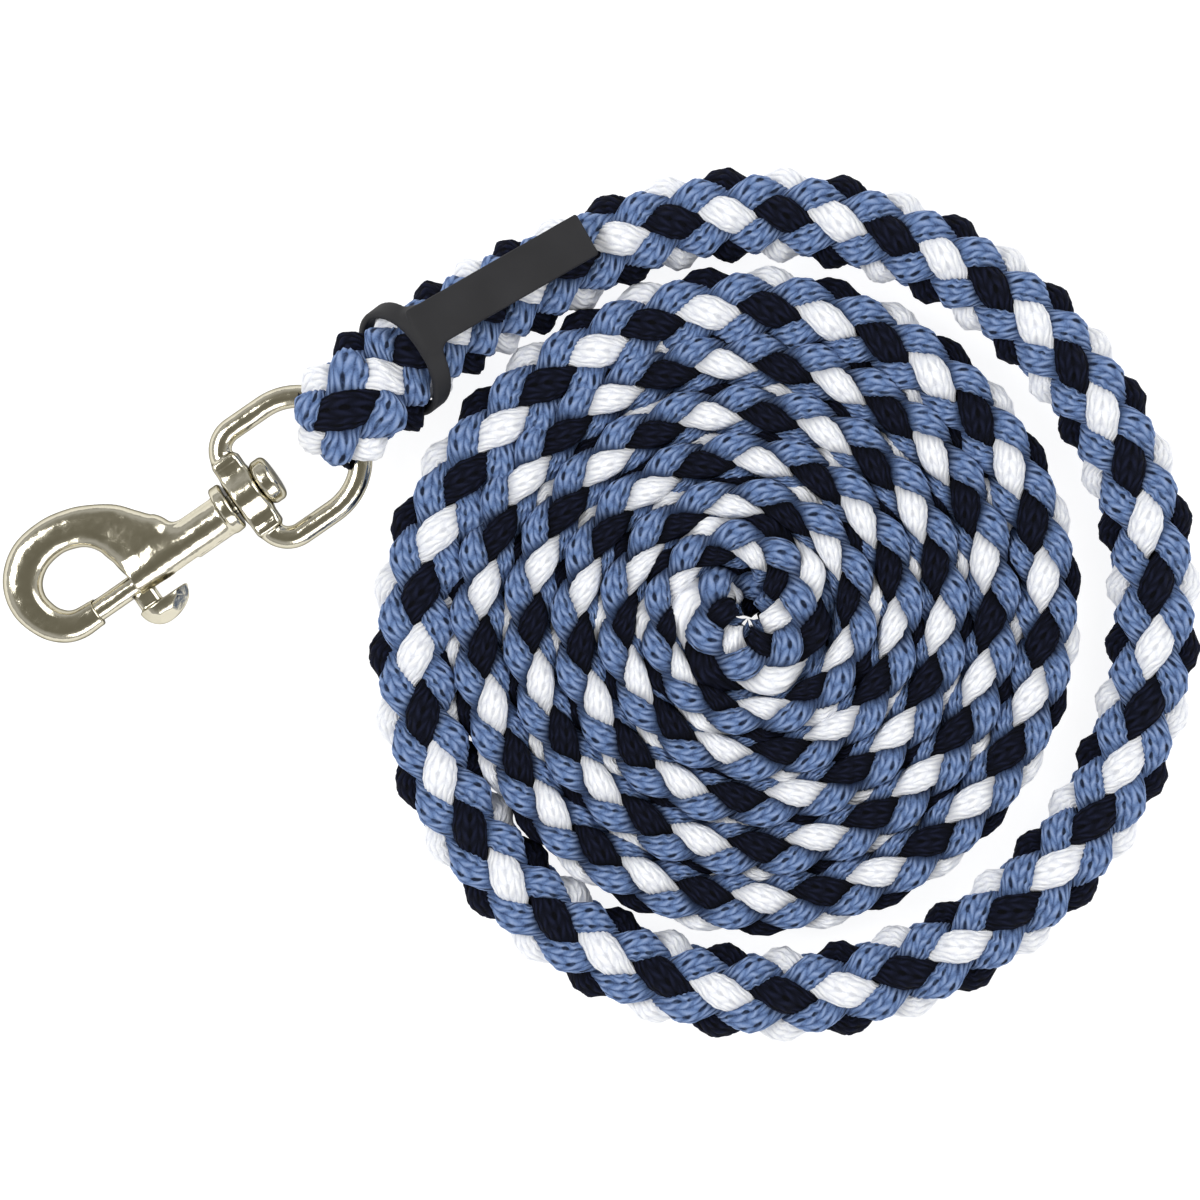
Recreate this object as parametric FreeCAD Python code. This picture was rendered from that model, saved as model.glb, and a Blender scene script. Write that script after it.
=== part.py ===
"""Braided lead rope with a swivel bolt snap, coiled flat.

Millimetres, +Z up. The origin is the coil's centre on the surface that it rests on.
+X runs along the snap, from its hook to its swivel eye, and the rope leads on in +X.
The snap is modelled in a frame of its own (x along the swivel axis, z square to its face)
and is laid down with its hook on the surface and its eye held up by the rope's loop.
"""
import FreeCAD
import Part
import math
import os
from FreeCAD import Vector

os.makedirs("parts", exist_ok=True)

# ---------------------------------------------------------------- driving dimensions
ROPE_D = 20.0              # braided rope, loose
ROPE_R = ROPE_D / 2
LEAD_R = 10.4              # thicker where the tail is spliced inside
TAIL_R = 4.6               # the tucked tail, squeezed
TAIL_CLEAR = 0.05

# coil: centreline radius as a function of turns from the +Y axis, clockwise seen from above
COIL_R1 = 66.0             # radius at COIL_T1 turns
COIL_T1 = 1.1
COIL_PITCH = 12.0          # drop per turn at COIL_T1
COIL_EASE = 0.42           # how the drop eases towards the middle
LOOSE_SWING = 11.2         # how far the outer turn stands off
LOOSE_AT, LOOSE_SPAN = 0.35, 0.65
TUCK = 2.4                 # the second turn is pressed in beside the lead
TUCK_AT, TUCK_SPAN = 0.98, 0.15
COIL_H = 20.0
COIL_EDGE = 7.5            # rounding of the coil's outer edge
TUCKED_HALF = 8.6          # half width of the rope where the second turn starts

# swivel eye, a flattened D
WIRE_R = 2.45
EYE_R = 13.4               # centreline of the round end
EYE_ROUND_X = 17.6         # its centre
EYE_BASE_X = 3.85          # centreline of the base bar
EYE_CORNER_R = 6.8
BASE_X0, BASE_X1 = 1.4, 7.5
BASE_HALF_W, BASE_HALF_T = 9.0, 2.9
BOSS_R = 5.1

# swivel stem with its peened head
STEM_R = 2.3
STEM_CLEAR = 0.06
STEM_X0 = -5.4
HEAD_R = 5.2
HEAD_X0, HEAD_X1 = 7.75, 11.6
HEAD_EDGE = 1.3

# snap body: barrel, collar, hook
BARREL_X0, BARREL_X1 = -26.3, -2.0
BARREL_R, BARREL_Y = 4.4, -0.8
COLLAR_R = 5.55
COLLAR_X0, COLLAR_X1 = -2.3, 0.5
COLLAR_EDGE = 0.8
COLLAR_CONE = 1.1
# hook sections from the nose round to the barrel:
# x, y of the centre, direction of the centreline in degrees, half width, half thickness
HOOK = (
    (-36.8, -2.75, 180.0, 2.85, 2.8),
    (-41.0, -2.25, 166.0, 3.15, 3.1),
    (-45.6, 0.6, 132.0, 3.45, 3.4),
    (-48.0, 6.3, 92.0, 3.75, 3.5),
    (-46.1, 12.2, 54.0, 3.95, 3.6),
    (-41.6, 15.6, 18.0, 3.98, 3.6),
    (-36.0, 15.9, -12.0, 4.0, 3.6),
    (-30.4, 14.0, -32.0, 4.2, 3.7),
    (-24.9, 11.2, -48.0, 4.5, 3.8),
    (-21.6, 6.2, -62.0, 5.6, 3.9),
    (-19.3, 1.6, -78.0, 7.0, 4.0),
)
NOSE_DIMPLE_R, NOSE_DIMPLE_DEPTH = 1.85, 1.3

# bolt, spring and thumb knob
BOLT_R, BOLT_Y = 2.35, -2.3
BOLT_CLEAR = 0.08
BOLT_X0, BOLT_X1 = -36.6, -21.5
BOLT_TIP_R, BOLT_TIP = 1.7, 1.1
BOLT_TRAVEL = 11.4
BORE_END_X = -6.5
KNOB_NECK_X0, KNOB_NECK_X1 = -28.4, -23.2
SLOT_END_X = KNOB_NECK_X1 + BOLT_TRAVEL + 0.1
SLOT_HALF_W = 1.6
KNOB_NECK_HALF_T = 1.5
KNOB_TOP_Y = -8.1
KNOB_HALF_T = 3.8
KNOB_STUD_R, KNOB_STUD_TOP_Y = 1.3, -1.6
SPRING_WIRE_R, SPRING_R = 0.25, 1.75
SPRING_COILS = 6
SPRING_GAP = 0.05

# the rope's loop round the eye
LOOP_AXIS_X = 30.6         # in the snap's frame: the eye swings about this line
LOOP_R = 9.9
LOOP_Y0, LOOP_Y1 = -6.8, 8.4
LOOP_EDGE = 3.4
TUNNEL_R, TUNNEL_FLARE_R, TUNNEL_HALF_L = 3.6, 11.1, 13.0
BULB_X, BULB_Y, BULB_Z = -41.4, 85.0, 10.4
BULB_W, BULB_H, BULB_EDGE = 24.0, 20.0, 7.0

# where the snap lies
LOOP_X, AXIS_Y = -46.8, 82.1
HOOK_REST_X = -48.0        # the hook touches the surface below this station
HOOK_REST_HALF_T = 3.6
TILT = math.degrees(math.asin((LOOP_R - HOOK_REST_HALF_T) / (LOOP_AXIS_X - HOOK_REST_X)))

# the lead's route, from the back of the loop to the mouth of the coil
LEAD_ROUTE = (
    Vector(-36.0, 85.8, 11.6),
    Vector(-24.5, 86.8, 12.0),
    Vector(-12.0, 86.5, 11.0),
    Vector(0.0, 85.2, 10.45),
)

LEAD_SPARE = 0.2           # share of an end run that is trimmed off again, to square the faces

# rubber tag: a ring round the throat and a strap on top of the rope
TAG_RING_IN, TAG_RING_OUT = 10.5, 12.0
TAG_RING_W = 4.2
TAG_RING_LEAN = 26.0
TAG_RING_C = Vector(-30.0, 86.3, 12.0)
TAG_X0, TAG_X1 = -25.5, 18.0
TAG_Y0, TAG_SLOPE = 89.6, -4.6
TAG_W, TAG_T = 9.8, 2.6
TAG_Z0, TAG_DROP = 22.6, -1.6
TAG_EDGE = 0.7


def export(name, shape):
    """Write one named solid."""
    if shape.isNull() or not shape.isValid():
        print("INVALID", name)
    shape.exportStep("parts/%s.step" % name)
    box = shape.BoundBox
    print("%-14s solids %d  vol %9.1f  x %7.2f %7.2f  y %7.2f %7.2f  z %6.2f %6.2f" % (
        name, len(shape.Solids), shape.Volume,
        box.XMin, box.XMax, box.YMin, box.YMax, box.ZMin, box.ZMax))


def lay_down(shape):
    """Move a solid from the snap's own frame to where the snap lies."""
    placed = shape.copy()
    placed.translate(Vector(-LOOP_AXIS_X, 0, 0))
    placed.rotate(Vector(0, 0, 0), Vector(0, 1, 0), -TILT)
    placed.translate(Vector(LOOP_X, AXIS_Y, LOOP_R))
    return placed


def cylinder_x(radius, x0, x1, y=0.0):
    return Part.makeCylinder(radius, x1 - x0, Vector(x0, y, 0), Vector(1, 0, 0))


def fillet_ends(shape, radius, x_values):
    """Round the circular edges that lie at the given x stations."""
    edges = []
    for edge in shape.Edges:
        if edge.Closed and any(abs(edge.CenterOfMass.x - x) < 1e-3 for x in x_values):
            edges.append(edge)
    return shape.makeFillet(radius, edges)


def rounded_rect(centre, half_y, half_z, radius):
    """A closed wire in a plane square to X, as four lines and four arcs."""
    def at(y, z):
        return Vector(centre.x, centre.y + y, centre.z + z)

    dy, dz = half_y - radius, half_z - radius
    k = radius * math.sqrt(0.5)
    corners = (
        (at(dy, half_z), at(dy + k, dz + k), at(half_y, dz)),
        (at(half_y, -dz), at(dy + k, -dz - k), at(dy, -half_z)),
        (at(-dy, -half_z), at(-dy - k, -dz - k), at(-half_y, -dz)),
        (at(-half_y, dz), at(-dy - k, dz + k), at(-dy, half_z)),
    )
    edges = []
    for index, (start, middle, end) in enumerate(corners):
        edges.append(Part.Arc(start, middle, end).toShape())
        edges.append(Part.LineSegment(end, corners[(index + 1) % 4][0]).toShape())
    return Part.Wire(edges)


# ---------------------------------------------------------------- rope
def coil_radius(turns):
    """Radius of the rope's centreline after this many turns from the +Y axis."""
    t = turns - COIL_T1
    radius = COIL_R1 - COIL_PITCH * t + COIL_EASE * t * t
    for height, at, span in ((LOOSE_SWING, LOOSE_AT, LOOSE_SPAN), (-TUCK, TUCK_AT, TUCK_SPAN)):
        if abs(turns - at) < span:
            radius += height * math.cos(math.pi / 2 * (turns - at) / span) ** 2
    return radius


def coil_point(turns, out, z=0.0):
    """A point beside the coil's centreline, by its distance outwards."""
    angle = math.pi / 2 - 2 * math.pi * turns
    radius = coil_radius(turns) + out
    return Vector(radius * math.cos(angle), radius * math.sin(angle), z)


def make_coil():
    steps = 24
    points = []
    for step in range(steps + 1):
        turns = step / steps
        half = ROPE_R if turns < 0.8 else ROPE_R + (TUCKED_HALF - ROPE_R) * (turns - 0.8) / 0.2
        points.append(coil_point(turns, half))
    outline = Part.BSplineCurve()
    outline.interpolate(points)
    rim = outline.toShape()
    mouth = Part.LineSegment(points[-1], points[0]).toShape()
    plate = Part.Face(Part.Wire([rim, mouth])).extrude(Vector(0, 0, COIL_H))
    rims = [e for e in plate.Edges if e.Length > 300]
    return plate.makeFillet(COIL_EDGE, rims)


def route_path(points):
    """Straight runs joined by tangent arcs, each as large as its two runs allow."""
    edges, start = [], points[0]
    for before, at, after in zip(points, points[1:], points[2:]):
        d_in, d_out = (at - before), (after - at)
        turn = d_in.getAngle(d_out)
        radius = 0.45 * min(d_in.Length, d_out.Length) / math.tan(turn / 2)
        cut = radius * math.tan(turn / 2)
        d_in.normalize()
        d_out.normalize()
        a, b = at - d_in * cut, at + d_out * cut
        towards = (d_out - d_in)
        towards.normalize()
        sagitta = radius / math.cos(turn / 2) - radius
        edges.append(Part.LineSegment(start, a).toShape())
        edges.append(Part.Arc(a, at + towards * sagitta, b).toShape())
        print("lead arc: turn %.1f deg, radius %.1f" % (math.degrees(turn), radius))
        start = b
    edges.append(Part.LineSegment(start, points[-1]).toShape())
    return Part.Wire(edges)


def tube(path, radius, start, direction):
    ring = Part.Wire([Part.Circle(start, direction, radius).toShape()])
    return path.makePipeShell([ring], True, False)


def make_lead():
    """The spliced stretch, and the rope's own tail inside it."""
    first, last = LEAD_ROUTE[1] - LEAD_ROUTE[0], LEAD_ROUTE[-1] - LEAD_ROUTE[-2]
    points = [LEAD_ROUTE[0] - first * LEAD_SPARE, *LEAD_ROUTE[1:-1], LEAD_ROUTE[-1] + last * LEAD_SPARE]
    path = route_path(points)
    start, direction = points[0], first
    whole = tube(path, LEAD_R, start, direction)
    print("lead tube: volume %.0f, section x length %.0f" % (
        whole.Volume, math.pi * LEAD_R ** 2 * path.Length))
    x0, x1 = LEAD_ROUTE[0].x, LEAD_ROUTE[-1].x
    between = Part.makeBox(x1 - x0, 80, 80, Vector(x0, AXIS_Y - 40, -20))
    tail = tube(path, TAIL_R, start, direction)
    hole = tube(path, TAIL_R + TAIL_CLEAR, start, direction)
    return whole.cut(hole).common(between), tail.common(between)


def make_loop():
    """The rope's loop: a bend round the eye's bar that runs back into the throat."""
    centre = Vector(LOOP_X, AXIS_Y, LOOP_R)
    base = centre + Vector(0, LOOP_Y0, 0)
    bend = Part.makeCylinder(LOOP_R, LOOP_Y1 - LOOP_Y0, base, Vector(0, 1, 0))
    bend = bend.makeFillet(LOOP_EDGE, [e for e in bend.Edges if e.Closed])
    front = Vector(LOOP_X, AXIS_Y + (LOOP_Y0 + LOOP_Y1) / 2, LOOP_R)
    sections = [
        rounded_rect(front, (LOOP_Y1 - LOOP_Y0) / 2, LOOP_R - 0.01, LOOP_EDGE),
        rounded_rect(Vector(BULB_X, BULB_Y, BULB_Z), BULB_W / 2, BULB_H / 2, BULB_EDGE),
        rounded_rect(LEAD_ROUTE[0], LEAD_R - 0.1, LEAD_R - 0.1, LEAD_R - 1.0),
    ]
    throat = Part.makeLoft(sections, True, False)
    flare = Part.Arc(Vector(-TUNNEL_HALF_L, TUNNEL_FLARE_R, 0), Vector(0, TUNNEL_R, 0),
                     Vector(TUNNEL_HALF_L, TUNNEL_FLARE_R, 0)).toShape()
    corners = [Vector(TUNNEL_HALF_L, TUNNEL_FLARE_R, 0), Vector(TUNNEL_HALF_L, 0, 0),
               Vector(-TUNNEL_HALF_L, 0, 0), Vector(-TUNNEL_HALF_L, TUNNEL_FLARE_R, 0)]
    sides = [Part.LineSegment(p, q).toShape() for p, q in zip(corners, corners[1:])]
    tunnel = Part.Face(Part.Wire([flare] + sides)).revolve(Vector(0, 0, 0), Vector(1, 0, 0), 360)
    tunnel.rotate(Vector(0, 0, 0), Vector(0, 0, 1), 90)
    tunnel.translate(centre)
    solid = bend.fuse(throat).cut(tunnel)
    return solid.removeSplitter()


def make_tag():
    """One rubber moulding: a leaning ring round the throat, and a strap."""
    c = TAG_RING_C
    axis = Vector(1, 0.05, 0)
    span = 30.0
    outer = Part.makeCylinder(TAG_RING_OUT, span, c - Vector(span / 2, 0, 0), axis)
    inner = Part.makeCylinder(TAG_RING_IN, span, c - Vector(span / 2, 0, 0), axis)
    slab = Part.makeBox(TAG_RING_W, 60, 60, Vector(-TAG_RING_W / 2, -30, -30))
    slab.rotate(Vector(0, 0, 0), Vector(0, 1, 0), TAG_RING_LEAN)
    slab.translate(c)
    ring = outer.cut(inner).common(slab)
    length = TAG_X1 - TAG_X0
    strap = Part.makeBox(length, TAG_W, TAG_T, Vector(0, -TAG_W / 2, 0))
    strap = strap.makeFillet(TAG_EDGE, strap.Edges)
    strap.rotate(Vector(0, 0, 0), Vector(0, 1, 0), math.degrees(math.atan2(-TAG_DROP, length)))
    strap.rotate(Vector(0, 0, 0), Vector(0, 0, 1), TAG_SLOPE)
    strap.translate(Vector(TAG_X0, TAG_Y0, TAG_Z0))
    bridge = Part.makeBox(5.0, TAG_W + 3.0, 3.4, Vector(TAG_X0 - 2.6, TAG_Y0 - TAG_W / 2 - 1.6,
                                                        TAG_Z0 - 1.4))
    bridge = bridge.makeFillet(TAG_EDGE, bridge.Edges)
    return ring.fuse([strap, bridge.cut(inner)]).removeSplitter()


# ---------------------------------------------------------------- snap
def make_eye():
    corner_x = EYE_BASE_X + EYE_CORNER_R
    corner_y = EYE_R - EYE_CORNER_R
    k = EYE_CORNER_R * math.sqrt(0.5)
    base_top, base_low = Vector(EYE_BASE_X, corner_y, 0), Vector(EYE_BASE_X, -corner_y, 0)
    side_top, side_low = Vector(corner_x, EYE_R, 0), Vector(corner_x, -EYE_R, 0)
    far_top, far_low = Vector(EYE_ROUND_X, EYE_R, 0), Vector(EYE_ROUND_X, -EYE_R, 0)
    edges = [
        Part.LineSegment(Vector(EYE_BASE_X, 0, 0), base_top).toShape(),
        Part.Arc(base_top, Vector(corner_x - k, corner_y + k, 0), side_top).toShape(),
        Part.LineSegment(side_top, far_top).toShape(),
        Part.Arc(far_top, Vector(EYE_ROUND_X + EYE_R, 0, 0), far_low).toShape(),
        Part.LineSegment(far_low, side_low).toShape(),
        Part.Arc(side_low, Vector(corner_x - k, -corner_y - k, 0), base_low).toShape(),
        Part.LineSegment(base_low, Vector(EYE_BASE_X, 0, 0)).toShape(),
    ]
    ring = Part.Wire([Part.Circle(Vector(EYE_BASE_X, 0, 0), Vector(0, 1, 0), WIRE_R).toShape()])
    wire = Part.Wire(edges).makePipeShell([ring], True, False)
    bar = Part.makeBox(BASE_X1 - BASE_X0, 2 * BASE_HALF_W, 2 * BASE_HALF_T,
                       Vector(BASE_X0, -BASE_HALF_W, -BASE_HALF_T))
    bar = bar.makeFillet(1.2, bar.Edges)
    boss = fillet_ends(cylinder_x(BOSS_R, BASE_X0, BASE_X1), 0.7, (BASE_X0, BASE_X1))
    hole = cylinder_x(STEM_R + STEM_CLEAR, BASE_X0 - 2, BASE_X1 + 2)
    return wire.fuse([bar, boss]).cut(hole).removeSplitter()


def make_stem():
    shank = cylinder_x(STEM_R, STEM_X0, HEAD_X0 + 0.5)
    head = cylinder_x(HEAD_R, HEAD_X0, HEAD_X1)
    head = fillet_ends(head, HEAD_EDGE, (HEAD_X0, HEAD_X1))
    return shank.fuse(head).removeSplitter()


def hook_section(x, y, heading, half_w, half_t):
    """An elliptical section square to the hook's centreline."""
    along = math.radians(heading)
    side = Vector(-math.sin(along), math.cos(along), 0)
    up = Vector(0, 0, 1)
    centre = Vector(x, y, 0)
    if half_w >= half_t:
        ellipse = Part.Ellipse(centre + side * half_w, centre + up * half_t, centre)
    else:
        ellipse = Part.Ellipse(centre + up * half_t, centre + side * half_w, centre)
    return Part.Wire([ellipse.toShape()])


def make_body():
    hook = Part.makeLoft([hook_section(*station) for station in HOOK], True, False)
    barrel = cylinder_x(BARREL_R, BARREL_X0, BARREL_X1, BARREL_Y)
    barrel = fillet_ends(barrel, 0.5, (BARREL_X0,))
    collar = fillet_ends(cylinder_x(COLLAR_R, COLLAR_X0, COLLAR_X1), COLLAR_EDGE,
                         (COLLAR_X0, COLLAR_X1))
    cone = Part.makeCone(BARREL_R - 1.0, COLLAR_R - COLLAR_EDGE, COLLAR_CONE,
                         Vector(COLLAR_X0 - COLLAR_CONE, 0, 0), Vector(1, 0, 0))
    body = barrel.fuse([hook, collar, cone])
    bore = cylinder_x(BOLT_R + BOLT_CLEAR, BARREL_X0 - 3, BORE_END_X, BOLT_Y)
    slot = Part.makeBox(SLOT_END_X - BARREL_X0 + 3, 8, 2 * SLOT_HALF_W,
                        Vector(BARREL_X0 - 3, BOLT_Y - 8, -SLOT_HALF_W))
    socket = cylinder_x(STEM_R, STEM_X0, COLLAR_X1 + 1)
    dimple = cylinder_x(NOSE_DIMPLE_R, HOOK[0][0] - NOSE_DIMPLE_DEPTH, HOOK[0][0] + 2, BOLT_Y)
    return body.cut([bore, slot, socket, dimple]).removeSplitter()


def make_bolt():
    pin = cylinder_x(BOLT_R, BOLT_X0, BOLT_X1, BOLT_Y)
    tip = cylinder_x(BOLT_TIP_R, BOLT_X0 - BOLT_TIP, BOLT_X0 + 1, BOLT_Y)
    tip = fillet_ends(tip, 0.4, (BOLT_X0 - BOLT_TIP,))
    stud_x = (KNOB_NECK_X0 + KNOB_NECK_X1) / 2
    stud_hole = Part.makeCylinder(KNOB_STUD_R, 8, Vector(stud_x, KNOB_STUD_TOP_Y, 0),
                                  Vector(0, -1, 0))
    flat = Part.makeBox(KNOB_NECK_X1 - KNOB_NECK_X0, 2, 2 * KNOB_NECK_HALF_T,
                        Vector(KNOB_NECK_X0, BOLT_Y - BOLT_R - 1.4, -KNOB_NECK_HALF_T))
    return pin.fuse(tip).cut([stud_hole, flat]).removeSplitter()


def make_knob():
    """Thumb knob: a dished, rounded head on a short neck."""
    outline = (
        (-28.7, KNOB_TOP_Y), (-29.2, -9.6), (-28.4, -11.6), (-26.2, -13.0), (-23.2, -13.3),
        (-20.2, -12.4), (-18.0, -10.6), (-17.0, -8.8), (-17.6, KNOB_TOP_Y),
    )
    curve = Part.BSplineCurve()
    curve.interpolate([Vector(x, y, -KNOB_HALF_T) for x, y in outline])
    first, last = outline[0], outline[-1]
    close = Part.LineSegment(Vector(last[0], last[1], -KNOB_HALF_T),
                             Vector(first[0], first[1], -KNOB_HALF_T)).toShape()
    head = Part.Face(Part.Wire([curve.toShape(), close])).extrude(Vector(0, 0, 2 * KNOB_HALF_T))
    neck_top = BOLT_Y - BOLT_R + 0.6
    neck = Part.makeBox(KNOB_NECK_X1 - KNOB_NECK_X0, neck_top - KNOB_TOP_Y + 1, 2 * KNOB_NECK_HALF_T,
                        Vector(KNOB_NECK_X0, KNOB_TOP_Y - 1, -KNOB_NECK_HALF_T))
    stud_x = (KNOB_NECK_X0 + KNOB_NECK_X1) / 2
    stud = Part.makeCylinder(KNOB_STUD_R, KNOB_STUD_TOP_Y - KNOB_TOP_Y, Vector(stud_x, KNOB_TOP_Y, 0),
                             Vector(0, 1, 0))
    return head.fuse([neck, stud]).removeSplitter()


def make_spring():
    """Compression spring between the bolt and the end of its bore."""
    x0 = BOLT_X1 + SPRING_GAP + SPRING_WIRE_R
    x1 = BORE_END_X - SPRING_GAP - SPRING_WIRE_R
    helix = Part.makeHelix((x1 - x0) / SPRING_COILS, x1 - x0, SPRING_R)
    ring = Part.Wire([Part.Circle(Vector(SPRING_R, 0, 0), Vector(0, 1, 0), SPRING_WIRE_R).toShape()])
    spring = Part.Wire(helix.Edges).makePipeShell([ring], True, True)
    spring.rotate(Vector(0, 0, 0), Vector(0, 1, 0), 90)
    spring.translate(Vector(x0, BOLT_Y, 0))
    return spring


def main():
    print("tilt of the snap %.3f deg" % TILT)
    lead, tail = make_lead()
    export("rope_coil", make_coil())
    export("rope_lead", lead)
    export("splice_tail", tail)
    export("rope_loop", make_loop())
    export("rubber_tag", make_tag())
    export("swivel_eye", lay_down(make_eye()))
    export("swivel_stem", lay_down(make_stem()))
    export("snap_body", lay_down(make_body()))
    export("snap_bolt", lay_down(make_bolt()))
    export("thumb_knob", lay_down(make_knob()))
    export("bolt_spring", lay_down(make_spring()))


main()
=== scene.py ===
import bmesh
import bpy
import math
import numpy as np
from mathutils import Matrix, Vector


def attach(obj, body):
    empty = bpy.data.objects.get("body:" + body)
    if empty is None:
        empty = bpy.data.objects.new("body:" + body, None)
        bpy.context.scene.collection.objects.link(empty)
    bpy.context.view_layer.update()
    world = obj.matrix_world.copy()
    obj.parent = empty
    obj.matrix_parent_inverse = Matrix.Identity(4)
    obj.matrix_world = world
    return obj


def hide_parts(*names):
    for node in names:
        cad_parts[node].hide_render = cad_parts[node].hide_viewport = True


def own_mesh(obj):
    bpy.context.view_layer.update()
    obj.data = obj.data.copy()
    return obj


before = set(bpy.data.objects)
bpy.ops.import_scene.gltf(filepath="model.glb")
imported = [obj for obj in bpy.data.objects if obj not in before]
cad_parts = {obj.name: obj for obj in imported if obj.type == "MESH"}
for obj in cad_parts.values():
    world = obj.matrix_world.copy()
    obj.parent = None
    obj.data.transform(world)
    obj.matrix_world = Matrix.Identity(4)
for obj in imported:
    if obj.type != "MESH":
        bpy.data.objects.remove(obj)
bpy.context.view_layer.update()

MM = 0.001
TAU = 2 * math.pi

# ================================================================ camera
CAMERA_TARGET = (-23.8, 21.0, 10.0)     # mm
CAMERA_TURN = -34.5                     # degrees about Z
CAMERA_LENS = 250.0
CAMERA_SPAN = 255.4                     # mm across the frame at the target
CAMERA_SENSOR, CAMERA_FAR = 36.0, 50.0  # mm, m

camera = bpy.data.objects.new("camera", bpy.data.cameras.new("camera"))
bpy.context.scene.collection.objects.link(camera)
camera.data.lens = CAMERA_LENS
camera.data.sensor_width = CAMERA_SENSOR
camera.data.clip_end = CAMERA_FAR
distance = CAMERA_SPAN * MM * CAMERA_LENS / camera.data.sensor_width
camera.location = (CAMERA_TARGET[0] * MM, CAMERA_TARGET[1] * MM,
                   CAMERA_TARGET[2] * MM + distance)
camera.rotation_euler = (0, 0, math.radians(CAMERA_TURN))
bpy.context.scene.camera = camera

# ================================================================ the rope's line
ROPE_D = 20.0
ROPE_R = ROPE_D / 2
LOOP_X, LOOP_Y, LOOP_Z = -46.8, 84.0, 9.9   # where the loop goes round the eye
LOOP_LEG = 6.3                          # from the eye's wire to the middle of the rope on it

# coil: centreline radius as a function of turns from the +Y axis, clockwise seen from above
COIL_R1, COIL_T1, COIL_PITCH, COIL_EASE = 66.0, 1.1, 12.0, 0.42
LOOSE_SWING, LOOSE_AT, LOOSE_SPAN = 11.2, 0.35, 0.65
TUCK, TUCK_AT, TUCK_SPAN = 2.4, 0.98, 0.15
HEART_R, HEART_AT = 9.6, 6.08           # the last turn closes on itself
HEART_HALF_W, HEART_UPRIGHT = 9.25, 0.8
COIL_END = 7.0
END_THINNER, END_FLATTER = 4.0, 4.5     # where the end goes under the middle
PRESSED_FROM, PRESSED_FULL = 0.92, 1.5  # turns over which the neighbours start to press
PRESSED_LEAN = math.radians(13.0)
PRESSED_SHARE, PRESSED_MIN, PRESSED_MAX = 0.60, 4.9, 8.0    # half width from the pitch
COIL_STEPS = 16                         # control points to a turn
COIL_EDGE_Z = 10.45                     # height of the lead where the coil begins


def smooth(x, a, b):
    """0 before a, 1 after b, smooth between."""
    t = np.clip((np.asarray(x, float) - a) / (b - a), 0, 1)
    return t * t * (3 - 2 * t)


def coil_radius(turns):
    """Distance of the rope's middle from the coil's, mm."""
    t = turns - COIL_T1
    radius = COIL_R1 - COIL_PITCH * t + COIL_EASE * t * t
    for height, at, span in ((LOOSE_SWING, LOOSE_AT, LOOSE_SPAN), (-TUCK, TUCK_AT, TUCK_SPAN)):
        if abs(turns - at) < span:
            radius += height * math.cos(math.pi / 2 * (turns - at) / span) ** 2
    heart = float(smooth(turns, HEART_AT, HEART_AT + 0.3))
    return radius + (HEART_R - radius) * heart


def coil_section(turns):
    """Half width, half height and outward lean (radians) of the rope in the coil."""
    turns = np.asarray(turns, float)
    pressed = smooth(turns, PRESSED_FROM, PRESSED_FULL)
    pitch = COIL_PITCH - 2 * COIL_EASE * (turns - COIL_T1)
    lean = PRESSED_LEAN * pressed
    half_w = np.clip(PRESSED_SHARE * pitch, PRESSED_MIN, PRESSED_MAX)
    half_w = ROPE_R + (half_w - ROPE_R) * pressed
    heart = smooth(turns, HEART_AT - 0.15, HEART_AT + 0.3)
    half_w = half_w + (HEART_HALF_W - half_w) * heart
    lean = lean * (1 - HEART_UPRIGHT * heart)
    end = smooth(turns, COIL_END - 0.15, COIL_END + 0.1)
    return half_w - END_THINNER * end, ROPE_R - END_FLATTER * end, lean


def coil_height(turns):
    """Height of the rope's middle when it rests on the ground."""
    half_w, half_h, lean = coil_section(turns)
    return float(np.sqrt((half_h * np.cos(lean)) ** 2 + (half_w * np.sin(lean)) ** 2))


def rope_points():
    """Control points, mm: the tail, the loop round the eye, the lead's route, the coil."""
    points = [
        (-21.0, 86.6, 11.6),
        (-29.0, 86.2, 9.6),
        (-36.5, 85.4, 6.2),
        (-42.5, 84.6, LOOP_Z - LOOP_LEG),
        (-48.4, 84.2, LOOP_Z - LOOP_LEG - 0.3),
        (LOOP_X - LOOP_LEG, LOOP_Y, LOOP_Z - LOOP_LEG),
        (LOOP_X - LOOP_LEG - 1.1, LOOP_Y, LOOP_Z),
        (LOOP_X - LOOP_LEG, LOOP_Y, LOOP_Z + LOOP_LEG),
        (-48.4, 84.3, LOOP_Z + LOOP_LEG + 0.3),
        (-42.5, 84.9, LOOP_Z + LOOP_LEG - 0.8),
        (-36.0, 85.8, 11.9),
        (-24.5, 86.8, 12.0),
        (-12.0, 86.5, 11.0),
        (0.0, 85.2, COIL_EDGE_Z),
    ]
    step = 1.0 / COIL_STEPS
    wide = 1 / math.cos(math.pi / COIL_STEPS)
    for i in range(1, int(round(COIL_END / step)) + 1):
        turns = i * step
        angle = math.pi / 2 - TAU * turns
        radius = coil_radius(turns) * wide
        points.append((radius * math.cos(angle), radius * math.sin(angle), coil_height(turns)))
    # the end, tucked under the middle of the coil
    points += [(6.0, 5.0, 5.6), (4.2, -0.5, 5.4)]
    return points


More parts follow.
